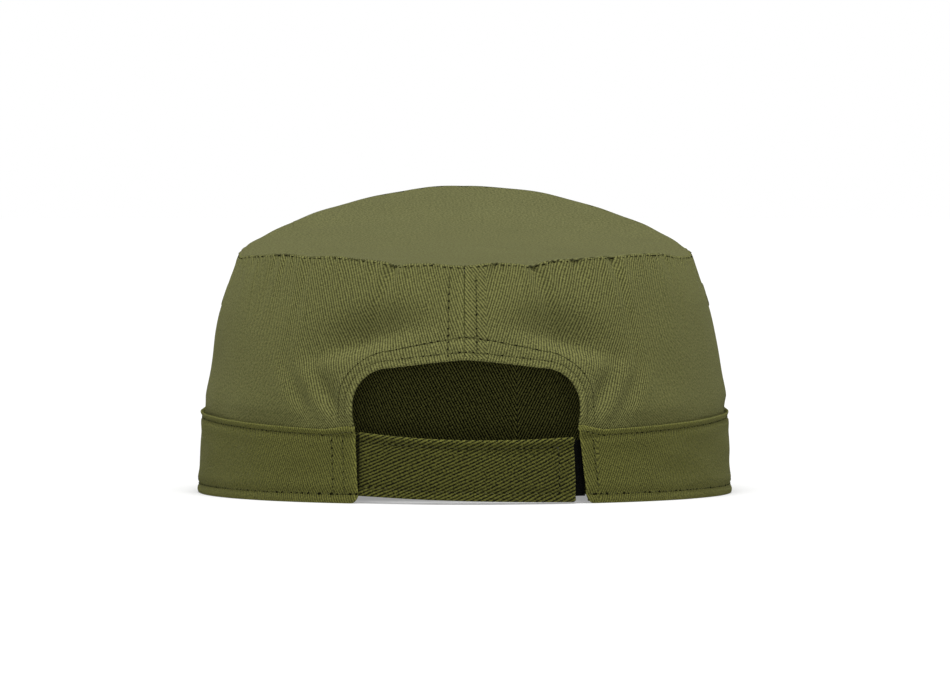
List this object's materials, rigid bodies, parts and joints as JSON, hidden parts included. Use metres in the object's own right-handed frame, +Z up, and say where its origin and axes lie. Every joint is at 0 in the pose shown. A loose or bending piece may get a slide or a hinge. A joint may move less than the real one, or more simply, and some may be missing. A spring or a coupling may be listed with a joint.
{
  "type": "military cap",
  "caption": "Flat-topped soft cap with a turned band, a stiffened peak in front and a hook-and-loop strap across an arched opening at the back.",
  "frame": {"origin": "centre of the head opening, on the plane that the rim stands on", "axes": "+Z up towards the crown, -Y towards the peak, +Y towards the closure strap, +X the wearer's left"},
  "size_m": [0.1744, 0.2679, 0.0994],
  "materials": {
    "olive_twill": "matt cotton twill with a fine diagonal wale",
    "lining_twill": "matt cotton twill, inside out",
    "seam_tape": "matt plain-woven binding tape",
    "interlining": "matt felted non-woven",
    "buckram": "matt stiffened open weave",
    "hook_tape": "woven nylon with stiff hooks",
    "loop_tape": "brushed nylon loops",
    "peak_board": "satin polyethylene sheet",
    "thread": "matt spun thread",
    "label": "satin woven polyester"
  },
  "bodies": {
    "cap": {"top_panel": "olive_twill", "top_interlining": "interlining", "side_panel_left": "olive_twill", "side_panel_right": "olive_twill", "front_panel": "olive_twill", "front_buckram": "buckram", "outer_band": "olive_twill", "band_interlining": "interlining", "sweatband_left": "lining_twill", "sweatband_right": "lining_twill", "sweatband_padding": "interlining", "arch_facing": "olive_twill", "back_seam_tape": "seam_tape", "top_seam_tape": "seam_tape", "front_seam_tape_left": "seam_tape", "front_seam_tape_right": "seam_tape", "strap_root": "olive_twill", "tab_root": "olive_twill", "peak_upper_cover": "olive_twill", "peak_board": "peak_board", "peak_under_cover": "olive_twill", "ventilation_eyelets": "thread", "care_label": "label"},
    "strap": {"closure_strap": "olive_twill", "hook_tape": "hook_tape"},
    "tab": {"loop_tab": "olive_twill", "loop_tape": "loop_tape"}
  },
  "joints": [
    {"name": "strap_peel", "type": "hinge", "parent": "cap", "child": "strap", "pos_m": [0.03315, 0.09277, 0.011], "axis": [0, 0, -1], "range_deg": [0, 90]},
    {"name": "tab_flex", "type": "hinge", "parent": "cap", "child": "tab", "pos_m": [-0.03299, 0.0924, 0.011], "axis": [0, 0, -1], "range_deg": [0, 30]}
  ]
}
